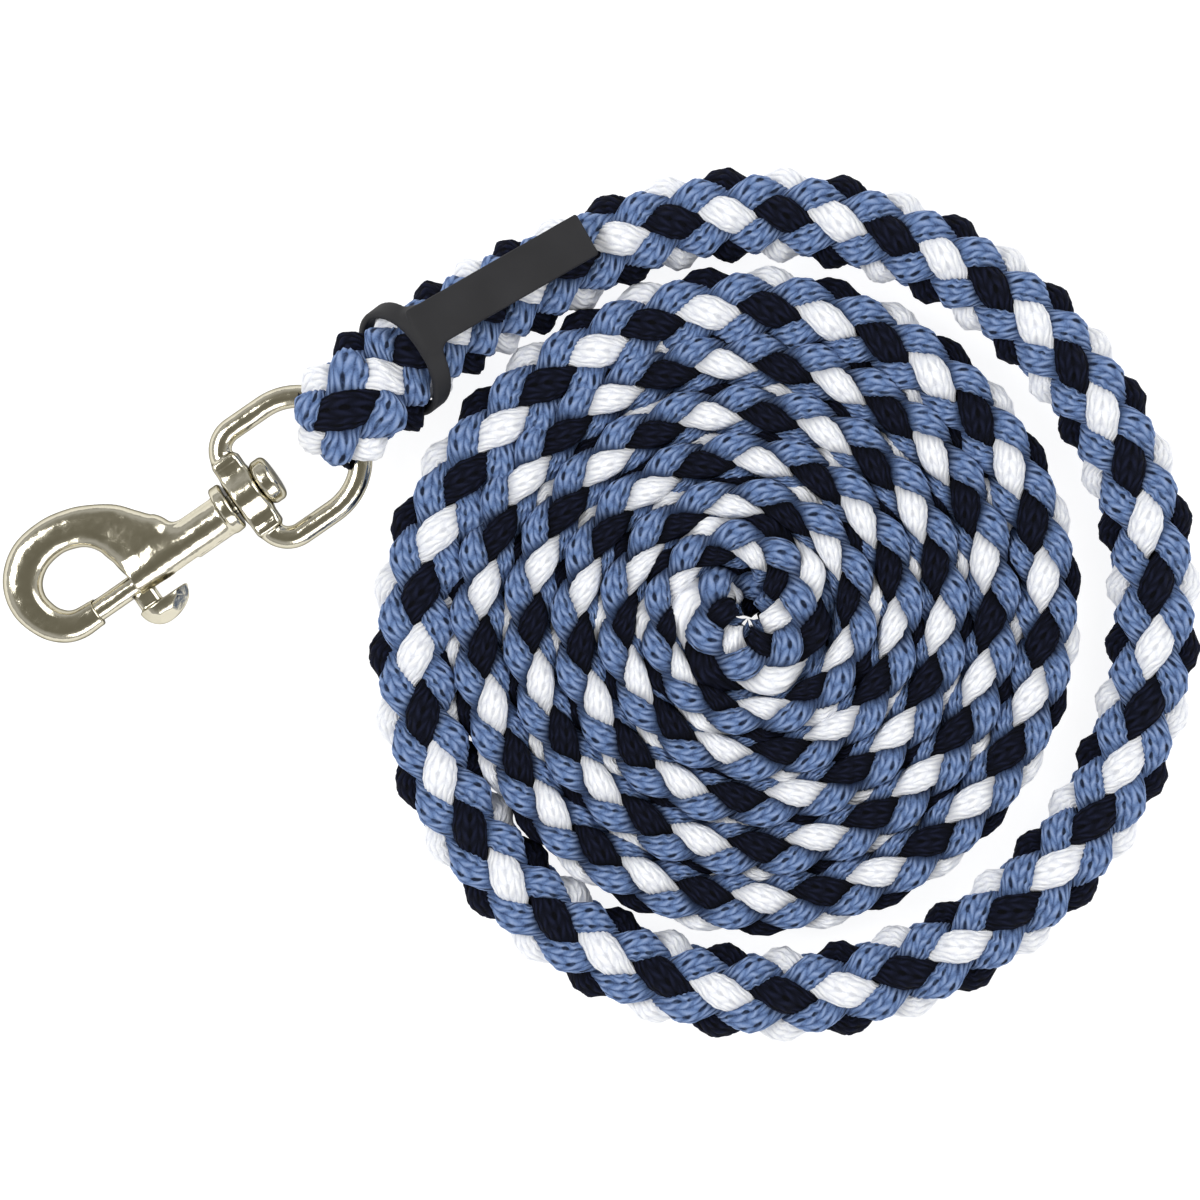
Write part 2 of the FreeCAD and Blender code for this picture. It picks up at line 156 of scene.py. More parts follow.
def nurbs_line(points):
    """The points of one smooth NURBS spline through a route, in mm."""
    curve = bpy.data.curves.new("route", "CURVE")
    curve.dimensions = "3D"
    curve.resolution_u = 24
    spline = curve.splines.new("NURBS")
    spline.points.add(len(points) - 1)
    for point, co in zip(spline.points, points):
        point.co = (*[c * MM for c in co], 1.0)
    spline.order_u = 3
    spline.use_endpoint_u = True
    holder = bpy.data.objects.new("route", curve)
    bpy.context.scene.collection.objects.link(holder)
    bpy.context.view_layer.update()
    graph = bpy.context.evaluated_depsgraph_get()
    mesh = bpy.data.meshes.new_from_object(holder.evaluated_get(graph))
    line = np.empty(len(mesh.vertices) * 3)
    mesh.vertices.foreach_get("co", line)
    bpy.data.objects.remove(holder)
    bpy.data.meshes.remove(mesh)
    return line.reshape(-1, 3) / MM


def unit(v):
    return v / np.linalg.norm(v, axis=-1, keepdims=True)


RING_STEP = 0.56                        # mm along the rope
LOOP_WITHIN = 100                       # mm of rope that hold the loop
MOUTH_FROM = 30                         # mm past the eye, before which nothing is coil
line = nurbs_line(rope_points())
run = np.concatenate([[0], np.cumsum(np.linalg.norm(np.diff(line, axis=0), axis=1))])
rope_length = run[-1]
s = np.arange(0, rope_length, RING_STEP)
centre = np.stack([np.interp(s, run, line[:, k]) for k in range(3)], axis=1)
for _ in range(2):
    centre[1:-1] = (centre[:-2] + 2 * centre[1:-1] + centre[2:]) / 4
tangent = unit(np.gradient(centre, axis=0))
bar_at = s[np.argmin(centre[s < LOOP_WITHIN, 0])]   # where the rope goes round the eye
in_coil = (s > bar_at + MOUTH_FROM) & (np.cumsum(centre[:, 0] > 0) > 0)
mouth_at = s[in_coil][0]
angle = np.unwrap(np.arctan2(centre[:, 1], centre[:, 0]))
turns = np.where(in_coil, (math.pi / 2 - angle) / TAU, 0)
turns -= np.round(turns[in_coil][0])
turns[~in_coil] = 0

# across: the rope's own sideways axis, outward in the coil; up: its top
outward = np.where(in_coil[:, None], centre * (1, 1, 0), np.array((0.0, 1.0, 0.0)))
outward = unit(outward)
across = unit(outward - tangent * np.sum(outward * tangent, axis=1, keepdims=True))
up = np.cross(tangent, across)

# the loop: thin round the eye, then a bulge, then the thicker splice; all in mm
SPLICE_WIDER, SPLICE_HIGHER, BULB_WIDER = 1.3, 0.4, 1.9
LEG_REACH, LEG_HALF_H = 15.0, 3.75      # the loop's leg is flattened under the lead
TAIL_HALF_W, TAIL_HALF_H = 4.0, 3.0     # the tail is tapered, inside the lead
half_w, half_h, lean = coil_section(turns)
leg = np.where(s < bar_at, 1.0, np.exp(-((s - bar_at) / LEG_REACH) ** 4))
spliced = smooth(s, bar_at + 8, bar_at + 22) * (1 - smooth(s, mouth_at - 12, mouth_at + 25))
bulb = smooth(s, bar_at + 2, bar_at + 14) * (1 - smooth(s, bar_at + 22, bar_at + 34))
half_w = half_w + SPLICE_WIDER * spliced + BULB_WIDER * bulb
half_h = half_h + SPLICE_HIGHER * spliced
half_h = half_h + (LEG_HALF_H - half_h) * leg
tail = 1 - smooth(s, bar_at - 30, bar_at - 12)
half_w = half_w + (TAIL_HALF_W - half_w) * tail
half_h = half_h + (TAIL_HALF_H - half_h) * tail

# braid: eight strands, four each way
LEAD_LEVEL = 5.92                       # mm of rope from one crossing to the next, in the lead
SPLICE_TIGHTER, OUTER_LOOSER, INNER_TIGHTER, HEART_TIGHTER = 1.35, 0.64, 0.2, 1.3
lead_end = mouth_at + 10
tight = smooth(s, bar_at + 18, bar_at + 30) * (1 - smooth(s, lead_end - 8, lead_end))
level = LEAD_LEVEL - SPLICE_TIGHTER * tight + OUTER_LOOSER * smooth(turns, 0.22, 0.32)
level = level - INNER_TIGHTER * smooth(turns, 0.95, 1.05)
level = level - HEART_TIGHTER * smooth(turns, 4.8, 6.2)
phase = np.cumsum(math.pi / 4 / level) * RING_STEP
phase += (lead_end - bar_at) * math.pi / 4 / LEAD_LEVEL - np.interp(lead_end, s, phase)
ROLL_OUTER, ROLL_INNER = math.radians(25), math.radians(20)     # the rope turns as it is coiled
roll = -ROLL_OUTER * smooth(turns, 0.95, 1.6) - ROLL_INNER * smooth(turns, 4.0, 6.2)
BRAID_R, BRAID_DEPTH = 5.45, 2.2        # middle of the strands, and how far they dive
STRAND_HALF_W, STRAND_HALF_T = 4.05, 2.5
LINGER = 0.128                          # a strand runs straighter while it is on top
PUFF = 0.11                             # and spreads there, narrowing where it dives
UNROLL_R = 7.6                          # radius at which a strand's width is laid round
WALES, WALE_SIDES = 6, 4                # knitted ribs across a strand, mesh steps to a rib
SCALLOP = 0.22                          # the stitches show along the edges, mm
STITCH_RINGS = 5                        # rings to a stitch
KNIT_DEPTH = 0.5                        # mm
V_SLOPE = 1.5                           # how steeply the knitted V's stand
RIB_MIDDLE, RIB_HALF_W = 0.25, 0.27     # a rib's place and size, in ribs
SPREAD = math.radians(104)              # how far round a strand its ribs reach
UNDER_SIDES = 5                         # mesh steps across its plain back
END_DOME = 1.5                          # mm


def at_run(values, where):
    """A quantity known along the rope, read at other distances along it."""
    if values.ndim == 1:
        return np.interp(where, s, values)
    return np.stack([np.interp(where, s, column) for column in values.T], axis=-1)


def squash(x, half):
    """Map -10..10 on to -half..half; the strands on the + side stay plump."""
    keep = np.where(half < ROPE_R, 0.86 + 0.14 * smooth(half, 4.5, ROPE_R), half / ROPE_R)
    knee, soft = 4.0, 1.6
    low = (2 * half - keep * (ROPE_R - knee)) / (ROPE_R + knee)

    def bent(v):
        return low * v + (keep - low) * soft * np.log1p(np.exp((v - knee) / soft))
    return bent(x) - bent(ROPE_R * np.ones_like(x)) + half


def press(x, half):
    """Map -10..10 on to -half..half: the middle keeps its width and the sides flatten."""
    share = half / ROPE_R
    middle = np.where(share < 1, np.minimum(0.98, 2 * share - 0.05), share)
    return x * (middle + (share - middle) * np.abs(x) / ROPE_R)


def knit(su, sv):
    """Height of the knitted surface, 0..1, at su stitches along and sv ribs across."""
    leg_at = np.abs(sv - np.round(sv))
    ridge = np.clip(1 - ((leg_at - RIB_MIDDLE) / RIB_HALF_W) ** 2, 0, 1)
    stitch = 0.5 + 0.5 * np.cos(TAU * (su - V_SLOPE * leg_at))
    return ridge * (0.3 + 0.7 * stitch)


def ring_profile():
    """Cross-section of a strand: sideways and outward offsets, and the rib coordinate."""
    steps = WALES * WALE_SIDES
    alpha = np.linspace(-SPREAD, SPREAD, steps + 1)
    below = np.linspace(SPREAD, TAU - SPREAD, UNDER_SIDES)[1:-1]
    rib = np.concatenate([alpha / SPREAD * WALES / 2, np.zeros(len(below))])
    relief = np.concatenate([np.ones(steps + 1), np.zeros(len(below))])
    alpha = np.concatenate([alpha, below])
    x = np.sign(np.sin(alpha)) * np.abs(np.sin(alpha)) ** 0.9
    y = np.sign(np.cos(alpha)) * np.abs(np.cos(alpha)) ** 0.95
    return x, y, rib, relief


def strand_mesh(name, way, start):
    """One strand over the rope's whole length. way is -1 or +1, start is in radians."""
    x, y, rib, relief = ring_profile()
    n, m = len(s), len(x)
    su = (np.arange(n) / STITCH_RINGS)[:, None]
    # wobble and swell are the small irregularities of a real braid
    wobble = 0.05 * np.sin(s / 17.0 + 3 * start + way) + 0.04 * np.sin(s / 7.3 + 5 * start - way)
    theta0 = (way * phase + LINGER * np.sin(4 * phase) + start + wobble + roll)[:, None]
    swell = 1 + 0.035 * np.sin(s / 9.1 + 2 * start + way)[:, None]
    pace = np.gradient(phase, s)
    lay = np.arctan(UNROLL_R * pace * (1 + way * 4 * LINGER * np.cos(4 * phase)))[:, None]
    swell = swell * (1 - way * PUFF * np.cos(4 * phase))[:, None]
    side = x[None, :] * (STRAND_HALF_W * swell + SCALLOP * np.cos(TAU * su))
    ds = -side * np.sin(lay) * way
    dtheta = side * np.cos(lay) / UNROLL_R
    theta = theta0 + dtheta
    where = s[:, None] + ds
    local = at_run(phase, where)
    over = -way * (np.cos(4 * local) + np.cos(4 * (theta - roll[:, None]))) / 2
    over = 1.12 * over - 0.12 * over ** 3       # flatter crests
    bumps = (knit(su + 0 * side, rib[None, :] + 0 * su) - 0.5) * relief[None, :] * KNIT_DEPTH
    rise = y[None, :] * STRAND_HALF_T
    plump = 1 + bumps / STRAND_HALF_T
    radius = BRAID_R + BRAID_DEPTH * over + rise * plump
    p, q = radius * np.sin(theta), radius * np.cos(theta)
    # the rope's own section: squeezed, then leaning outward
    across_mm = press(p, at_run(half_w, where))
    up_mm = squash(q, at_run(half_h, where))
    tilt = at_run(lean, where)
    out_mm = across_mm * np.cos(tilt) + up_mm * np.sin(tilt)
    high_mm = -across_mm * np.sin(tilt) + up_mm * np.cos(tilt)
    at = at_run(centre, where) + unit(at_run(across, where)) * out_mm[..., None]
    at = at + unit(at_run(up, where)) * high_mm[..., None]
    at[..., 2] = np.maximum(at[..., 2], 0)      # it rests on the ground
    # ends closed by a small dome
    first, last = at[:1].mean(axis=1), at[-1:].mean(axis=1)
    first = first - tangent[:1] * END_DOME
    last = last + tangent[-1:] * END_DOME
    verts = np.concatenate([at.reshape(-1, 3), first, last]) * MM
    i = np.arange(n - 1)[:, None] * m
    j = np.arange(m)[None, :]
    j2 = (j + 1) % m
    quads = np.stack([i + j, i + m + j, i + m + j2, i + j2], axis=-1).reshape(-1, 4)
    ends = []
    for k in range(m):
        ends.append((n * m, k, (k + 1) % m))
        ends.append((n * m + 1, (n - 1) * m + (k + 1) % m, (n - 1) * m + k))
    loops = np.concatenate([quads.ravel(), np.array(ends).ravel()])
    sizes = np.concatenate([np.full(len(quads), 4), np.full(len(ends), 3)])
    mesh = build_mesh(name, verts, loops, sizes)
    knit_and_shade_co = np.zeros((len(verts), 3), np.float32)
    knit_and_shade_co[:n * m, 0] = (su + 0 * side).ravel()
    knit_and_shade_co[:n * m, 1] = (rib[None, :] + 0 * su).ravel()
    # painted shade: how open a point is to the light goes into the knit attribute's third column,
    # and the material darkens the colour where it is low; light reaches less deep where the
    # coil's turns press together
    buried = 0.3 * smooth(turns, 0.9, 1.5)[:, None]
    open_to_light = smooth(over, buried - 0.75, buried + 0.3) * smooth(y, -0.2, 0.65)[None, :]
    knit_and_shade_co[:n * m, 2] = (relief[None, :] * open_to_light).ravel()
    attribute = mesh.attributes.new("knit", "FLOAT_VECTOR", "POINT")
    attribute.data.foreach_set("vector", knit_and_shade_co.ravel())
    return mesh


def build_mesh(name, verts, loops, sizes):
    """A smooth-shaded mesh from points in metres and faces of the given sizes."""
    mesh = bpy.data.meshes.new(name)
    mesh.vertices.add(len(verts))
    mesh.vertices.foreach_set("co", np.asarray(verts, np.float32).ravel())
    mesh.loops.add(len(loops))
    mesh.loops.foreach_set("vertex_index", np.asarray(loops, np.int32))
    mesh.polygons.add(len(sizes))
    starts = np.concatenate([[0], np.cumsum(sizes)[:-1]])
    mesh.polygons.foreach_set("loop_start", starts.astype(np.int32))
    mesh.polygons.foreach_set("use_smooth", np.ones(len(sizes), bool))
    mesh.update(calc_edges=True)
    mesh.validate()
    return mesh


def add_object(name, mesh):
    obj = bpy.data.objects.new(name, mesh)
    bpy.context.scene.collection.objects.link(obj)
    return obj


# colour, number, which way it winds, and the quarter turn it starts at
STRANDS = (
    ("navy", 1, -1, 0), ("white", 1, -1, 1), ("navy", 2, -1, 2), ("white", 2, -1, 3),
    ("blue", 1, 1, 0), ("blue", 2, 1, 1), ("blue", 3, 1, 2), ("blue", 4, 1, 3),
)
strands, strand_colour = {}, {}
for colour, number, way, quarter in STRANDS:
    name = f"strand_{colour}_{number}"
    strands[name] = add_object(name, strand_mesh(name, way, quarter * math.pi / 2))
    strand_colour[name] = colour


# ================================================================ smooth solids from fields
def smooth_min(a, b, k):
    h = np.clip(0.5 + 0.5 * (b - a) / k, 0, 1)
    return b + (a - b) * h - k * h * (1 - h)


def smooth_max(a, b, k):
    return -smooth_min(-a, -b, k)


def rounded(d1, d2, edge):
    """Where two slabs meet, with a rounded edge."""
    a, b = np.maximum(d1 + edge, 0), np.maximum(d2 + edge, 0)
    return np.minimum(np.maximum(d1 + edge, d2 + edge), 0) + np.sqrt(a * a + b * b) - edge


def tube_x(x, y, z, x0, x1, radius, edge, y0=0.0):
    """A cylinder along x, with rounded rims."""
    side = np.sqrt((y - y0) ** 2 + z * z) - radius
    return rounded(side, np.abs(x - (x0 + x1) / 2) - (x1 - x0) / 2, edge)


def block(x, y, z, mid, half, edge):
    """A box with rounded edges."""
    q = [np.abs(v - m) - h + edge for v, m, h in zip((x, y, z), mid, half)]
    out = np.sqrt(sum(np.maximum(v, 0) ** 2 for v in q))
    return out + np.minimum(np.maximum(np.maximum(q[0], q[1]), q[2]), 0) - edge


def along(x, y, path):
    """Distance in the plane to a polyline, and its interpolated further columns."""
    x, y = np.broadcast_arrays(np.asarray(x, float), np.asarray(y, float))
    best = np.full(x.shape, 1e9)
    cols = [np.zeros(x.shape) for _ in range(path.shape[1] - 2)]
    for a, b in zip(path, path[1:]):
        dx, dy = b[0] - a[0], b[1] - a[1]
        t = np.clip(((x - a[0]) * dx + (y - a[1]) * dy) / (dx * dx + dy * dy), 0, 1)
        d = (x - a[0] - t * dx) ** 2 + (y - a[1] - t * dy) ** 2
        near = d < best
        best = np.where(near, d, best)
        for k in range(len(cols)):
            cols[k] = np.where(near, a[k + 2] + t * (b[k + 2] - a[k + 2]), cols[k])
    return np.sqrt(best), cols


def catmull(points, steps):
    """A smooth polyline through the points, with their further columns."""
    p = np.asarray(points, float)
    p = np.concatenate([[2 * p[0] - p[1]], p, [2 * p[-1] - p[-2]]])
    t = np.linspace(0, 1, steps, endpoint=False)[:, None]
    out = []
    for a, b, c, d in zip(p, p[1:], p[2:], p[3:]):
        out.append(0.5 * (2 * b + (c - a) * t + (2 * a - 5 * b + 4 * c - d) * t ** 2
                          + (3 * b - a - 3 * c + d) * t ** 3))
    return np.concatenate(out + [p[-2:-1]])


NO_LENGTH = 2e-6                        # m; a shorter edge is closed up
PROBE, SETTLE_ROUNDS, SETTLE = 0.02, 3, 0.9     # bringing the mesh on to the surface
FLATTEST = 0.05                         # least slope squared that is trusted


def skin(name, field, low, high, cell, place=None):
    """A closed mesh on the zero surface of a field, by surface nets; all in mm."""
    axes = [np.arange(a - cell, b + 2 * cell, cell) for a, b in zip(low, high)]
    grid = field(axes[0][:, None, None], axes[1][None, :, None], axes[2][None, None, :])
    grid = np.broadcast_to(grid, [len(a) for a in axes])
    inside = grid < 0
    total = np.zeros([n - 1 for n in grid.shape] + [3])
    count = np.zeros([n - 1 for n in grid.shape])
    crossings = []
    for k in range(3):
        a = [slice(None)] * 3
        b = [slice(None)] * 3
        a[k], b[k] = slice(0, -1), slice(1, None)
        ga, gb = grid[tuple(a)], grid[tuple(b)]
        cut = (inside[tuple(a)] != inside[tuple(b)])
        idx = np.argwhere(cut)
        f = ga[cut] / (ga[cut] - gb[cut])
        pos = idx.astype(float)
        pos[:, k] += f
        crossings.append((idx, inside[tuple(a)][cut]))
        others = [v for v in range(3) if v != k]
        for da in (0, -1):
            for db in (0, -1):
                at = idx.copy()
                at[:, others[0]] += da
                at[:, others[1]] += db
                fine = np.all((at >= 0) & (at < count.shape), axis=1)
                np.add.at(total, tuple(at[fine].T), pos[fine])
                np.add.at(count, tuple(at[fine].T), 1)
    cells = np.argwhere(count > 0)
    number = -np.ones(count.shape, int)
    number[tuple(cells.T)] = np.arange(len(cells))
    verts = total[tuple(cells.T)] / count[tuple(cells.T)][:, None]
    verts = verts * cell + np.array([a[0] for a in axes])
    for _ in range(SETTLE_ROUNDS):
        here = field(*verts.T)
        grad = np.stack([field(*(verts + probe).T) - field(*(verts - probe).T)
                         for probe in PROBE * np.eye(3)], axis=1) / (2 * PROBE)
        size = np.maximum(np.sum(grad ** 2, axis=1), FLATTEST)
        step = np.clip(here / size, -cell, cell)
        verts = verts - grad * step[:, None] * SETTLE
    quads = []
    for k, (idx, starts_in) in enumerate(crossings):
        others = [v for v in range(3) if v != k]
        corner = []
        for da, db in ((0, 0), (-1, 0), (-1, -1), (0, -1)):
            at = idx.copy()
            at[:, others[0]] += da
            at[:, others[1]] += db
            corner.append(number[tuple(at.T)])
        quad = np.stack(corner, axis=1)
        flip = starts_in if k != 1 else ~starts_in
        quad[flip] = quad[flip][:, ::-1]
        quads.append(quad)
    quads = np.concatenate(quads)[:, ::-1]
    if place is not None:
        verts = place(verts)
    mesh = build_mesh(name, verts * MM, quads.ravel(), np.full(len(quads), 4))
    work = bmesh.new()
    work.from_mesh(mesh)
    bmesh.ops.dissolve_degenerate(work, dist=NO_LENGTH, edges=work.edges)
    work.to_mesh(mesh)
    work.free()
    return mesh


# ================================================================ snap
# mm in the snap's own frame: x along the swivel's axis, the hook at -x, z up
AXIS_Y = 82.1
LOOP_AXIS_X, HOOK_REST_X, HOOK_REST_HALF_T = 30.6, -48.0, 3.6
TILT = math.asin((LOOP_Z - HOOK_REST_HALF_T) / (LOOP_AXIS_X - HOOK_REST_X))


def lay_down(v):
    """From the snap's own frame to the object's."""
    x, y, z = v[:, 0] - LOOP_AXIS_X, v[:, 1], v[:, 2]
    c, k = math.cos(TILT), math.sin(TILT)
    return np.stack([x * c - z * k + LOOP_X, y + AXIS_Y, x * k + z * c + LOOP_Z], axis=1)


# the hook's middle line: x, y, half width, half thickness
HOOK = catmull((
    (-34.6, -2.6, 2.9, 2.75),
    (-37.4, -2.5, 3.0, 2.85),
    (-41.2, -2.3, 3.25, 3.1),
    (-44.2, -0.9, 3.5, 3.3),
    (-46.6, 2.2, 3.7, 3.4),
    (-47.7, 7.2, 4.0, 3.5),
    (-46.0, 12.0, 4.25, 3.6),
    (-41.6, 15.4, 4.35, 3.6),
    (-35.6, 16.3, 4.2, 3.6),
    (-30.6, 15.2, 4.3, 3.6),
    (-27.2, 13.4, 4.6, 3.6),
    (-24.2, 10.6, 5.4, 3.7),
    (-22.3, 7.4, 6.1, 3.9),
    (-20.8, 4.6, 6.8, 4.0),
    (-19.6, 3.0, 7.0, 4.0),
), 6)
HOOK_SQUARE = 2.5                       # power of the hook's section, 2 is an ellipse
BOLT_Y, BORE_R, DIMPLE_R = -2.3, 2.43, 1.9
EYE_CELL, CELL, FINE_CELL, TAG_CELL = 0.29, 0.3, 0.2, 0.4   # mm, mesh sizes


def snap_field(x, y, z):
    off, (half_w, half_t) = along(x, y, HOOK)
    p = HOOK_SQUARE
    hook = ((off / half_w) ** p + (np.abs(z) / half_t) ** p) ** (1 / p) - 1
    hook = hook * np.minimum(half_w, half_t)
    # flat end of the nose, where the bolt meets it
    gap = block(x, y, z, (-33.2, -3.4, 0), (3.15, 3.45, 6), 0.3)
    hook = smooth_max(hook, -gap, 0.45)
    barrel = tube_x(x, y, z, -26.4, -1.0, 4.4, 0.5, -0.8)
    keel = block(x, y, z, (-13.5, -0.8, 0), (12.8, 4.5, 1.6), 0.5)
    barrel = smooth_min(barrel, keel, 0.5)
    body = smooth_min(hook, barrel, 1.6)
    collar = tube_x(x, y, z, -2.35, 0.45, 5.55, 0.75)
    body = smooth_min(body, collar, 0.7)
    off_bolt = np.sqrt((y - BOLT_Y) ** 2 + z * z)
    bore = off_bolt - BORE_R
    bore = rounded(bore, np.abs(x + 19.0) - 12.5, 0.1)
    body = smooth_max(body, -bore, 0.25)
    # the slot for the thumb piece, and the dimple that the bolt's end closes into
    slot_cut = block(x, y, z, (-20.2, -5.0, 0), (8.5, 3.2, 1.6), 0.4)
    body = smooth_max(body, -slot_cut, 0.3)
    dimple = off_bolt - DIMPLE_R
    dimple = rounded(dimple, np.abs(x + 36.4) - 1.4, 0.1)
    return smooth_max(body, -dimple, 0.2)


snap_low, snap_high = (-52.5, -6.5, -5.8), (1.2, 20.6, 5.8)
snap = add_object("snap_casting", skin("snap_casting", snap_field, snap_low, snap_high,
                                       CELL, lay_down))

EYE_HALF, EYE_ROUND_X, EYE_BASE_X, EYE_CORNER = 13.4, 17.6, 3.85, 5.55
WIRE_R, STEM_HOLE_R = 2.45, 2.36
CORNER_STEPS, ARC_STEPS = 12, 32


def eye_path():
    """The wire's middle line: two corners at the stem's end and a half circle."""
    corner = []
    for i in range(CORNER_STEPS + 1):
        a = math.pi / 2 + math.pi / 2 * i / CORNER_STEPS
        corner.append((EYE_BASE_X + EYE_CORNER + EYE_CORNER * math.cos(a),
                       EYE_HALF - EYE_CORNER + EYE_CORNER * math.sin(a)))
    mirrored = [(x, -y) for x, y in corner[::-1]]
    arc = []
    for i in range(ARC_STEPS + 1):
        a = -math.pi / 2 + math.pi * i / ARC_STEPS
        arc.append((EYE_ROUND_X + EYE_HALF * math.cos(a), EYE_HALF * math.sin(a)))
    return np.array(corner + mirrored + arc + [corner[0]])


EYE = eye_path()


def eye_field(x, y, z):
    off, _ = along(x, y, EYE)
    wire = np.sqrt(off ** 2 + z * z) - WIRE_R
    bar = block(x, y, z, (4.45, 0, 0), (3.05, 9.0, 2.9), 0.9)
    boss = tube_x(x, y, z, 1.4, 7.5, 5.1, 0.9)
    pads = block(x, np.abs(y), z, (4.3, 8.2, 0), (2.6, 0.9, 3.1), 0.5)
    solid = smooth_min(smooth_min(wire, bar, 1.2), boss, 1.6)
    solid = smooth_min(solid, pads, 0.5)
    hole = np.sqrt(y * y + z * z) - STEM_HOLE_R + 0 * x
    return smooth_max(solid, -hole, 0.2)


eye_low, eye_high = (0.8, -16.4, -5.6), (34.0, 16.4, 5.6)
eye = add_object("eye_casting", skin("eye_casting", eye_field, eye_low, eye_high,
                                     EYE_CELL, lay_down))

BOAT_FORE, BOAT_AFT, BOAT_DEEP, BOAT_HALF_T = 7.3, 4.7, 4.95, 4.1
BOAT_X, BOAT_Y, NECK_X = -24.4, -8.0, -25.8
BOAT_FACETS, BOAT_FACET_TILT = (192, 228, 268, 308, 338), math.radians(38)
BOAT_CUT = 0.90                         # how near the middle a facet lies, 1 only touches


def knob_field(x, y, z):
    neck = block(x, y, z, (NECK_X, -6.0, 0), (2.6, 2.6, 1.6), 1.5)
    stud = rounded(np.sqrt((x - NECK_X) ** 2 + z * z) - 1.3, np.abs(y + 3.2) - 1.6, 0.2)
    # boat: flat where it meets the neck, round away from it, longer towards the eye
    cx, cy = x - BOAT_X, y - BOAT_Y
    long = np.where(cx > 0, BOAT_FORE, BOAT_AFT)
    bowl = np.sqrt((cx / long) ** 2 + (cy / BOAT_DEEP) ** 2 + (z / BOAT_HALF_T) ** 2) - 1
    head = smooth_max(bowl * 4.3, cy - 0.05, 0.5)
    for turn in BOAT_FACETS:
        nx = math.cos(BOAT_FACET_TILT) * math.cos(math.radians(turn))
        ny = math.cos(BOAT_FACET_TILT) * math.sin(math.radians(turn))
        nz = math.sin(BOAT_FACET_TILT)
        half_length = BOAT_FORE if nx > 0 else BOAT_AFT
        reach = math.hypot(half_length * nx, BOAT_DEEP * ny, BOAT_HALF_T * nz)
        facet = cx * nx + cy * ny + np.abs(z) * nz - BOAT_CUT * reach
        head = smooth_max(head, facet, 0.12)
    return smooth_min(smooth_min(head, neck, 0.8), stud, 0.3)


knob_low, knob_high = (-29.6, -13.4, -4.4), (-16.6, -1.2, 4.4)
knob = add_object("thumb_piece", skin("thumb_piece", knob_field, knob_low, knob_high,
                                      FINE_CELL, lay_down))

# the spring behind the bolt
SPRING_X0, SPRING_X1, BORE_END_X, BOLT_TRAVEL = -21.2, -6.8, -6.5, 11.4
SPRING_R, SPRING_WIRE_R, SPRING_COILS = 1.75, 0.25, 6
SPRING_RINGS, SPRING_SIDES = 28, 10     # mesh rings to a coil, sides to the wire


def spring_mesh():
    rings, sides = SPRING_COILS * SPRING_RINGS + 1, SPRING_SIDES
    t = np.linspace(0, 1, rings)
    angle = TAU * SPRING_COILS * t
    outward = np.stack([0 * t, np.cos(angle), np.sin(angle)], axis=1)
    middle = outward * SPRING_R + np.array((0, BOLT_Y, 0))
    middle[:, 0] = SPRING_X0 + (SPRING_X1 - SPRING_X0) * t
    sideways = np.cross(unit(np.gradient(middle, axis=0)), outward)
    a = TAU * np.arange(sides) / sides
    at = middle[:, None] + SPRING_WIRE_R * (outward[:, None] * np.cos(a)[None, :, None]
                                            + sideways[:, None] * np.sin(a)[None, :, None])
    i = np.arange(rings - 1)[:, None] * sides
    j = np.arange(sides)[None, :]
    j2 = (j + 1) % sides
    quads = np.stack([i + j, i + j2, i + sides + j2, i + sides + j], axis=-1)
    first, last = np.arange(sides)[::-1], (rings - 1) * sides + np.arange(sides)
    loops = np.concatenate([quads.ravel(), first, last])
    sizes = np.concatenate([np.full(quads.size // 4, 4), [sides, sides]])
    return build_mesh("spring_coils", lay_down(at.reshape(-1, 3)) * MM, loops, sizes)


coils = add_object("spring_coils", spring_mesh())

# ================================================================ rubber tag
# mm in the object's frame: a leaning ring round the splice, and a strap along the lead
RING_MID = np.array((-29.0, 86.7, 12.55))
RING_IN, RING_OUT, RING_W, RING_LEAN = 10.9, 12.5, 3.7, math.radians(26.0)
TAG_X0, TAG_X1, TAG_Y0, TAG_SLOPE = -23.6, 18.0, 89.6, math.radians(-4.6)
TAG_W, TAG_T, TAG_Z0, TAG_DROP = 9.8, 2.6, 22.6, -1.6


def tag_field(x, y, z):
    dx, dy, dz = x - RING_MID[0], y - RING_MID[1] - 0.05 * (x - RING_MID[0]), z - RING_MID[2]
    r = np.sqrt(dy * dy + dz * dz)
    slab = np.abs(dx * math.cos(RING_LEAN) - dz * math.sin(RING_LEAN)) - RING_W / 2
    ring = rounded(np.abs(r - (RING_IN + RING_OUT) / 2) - (RING_OUT - RING_IN) / 2, slab, 0.5)
    length = TAG_X1 - TAG_X0
    fall = math.atan2(-TAG_DROP, length)
    lx, ly, lz = x - TAG_X0, y - TAG_Y0, z - TAG_Z0
    ux = lx * math.cos(TAG_SLOPE) + ly * math.sin(TAG_SLOPE)
    uy = -lx * math.sin(TAG_SLOPE) + ly * math.cos(TAG_SLOPE)
    uz = lz + ux * math.tan(fall)
    strap = block(ux, uy, uz, (length / 2, 0, TAG_T / 2), (length / 2, TAG_W / 2, TAG_T / 2), 0.6)
    return smooth_min(ring, strap, 2.6)


tag_low, tag_high = (-38.5, 73.5, -0.6), (19.5, 99.6, 26.0)
tag = add_object("tag_moulding", skin("tag_moulding", tag_field, tag_low, tag_high, TAG_CELL))


# ================================================================ materials
def new_material(name):
    material = bpy.data.materials.new(name)
    material.use_nodes = True
    nodes = material.node_tree.nodes
    return material, nodes, material.node_tree.links, nodes["Principled BSDF"]


def math_node(nodes, links, kind, a, b=None, c=None, clamp=False):
    node = nodes.new("ShaderNodeMath")
    node.operation = kind
    node.use_clamp = clamp
    for socket, value in zip(node.inputs, (a, b, c)):
        if value is None:
            continue
        if isinstance(value, (int, float)):
            socket.default_value = value
        else:
            links.new(value, socket)
    return node.outputs[0]


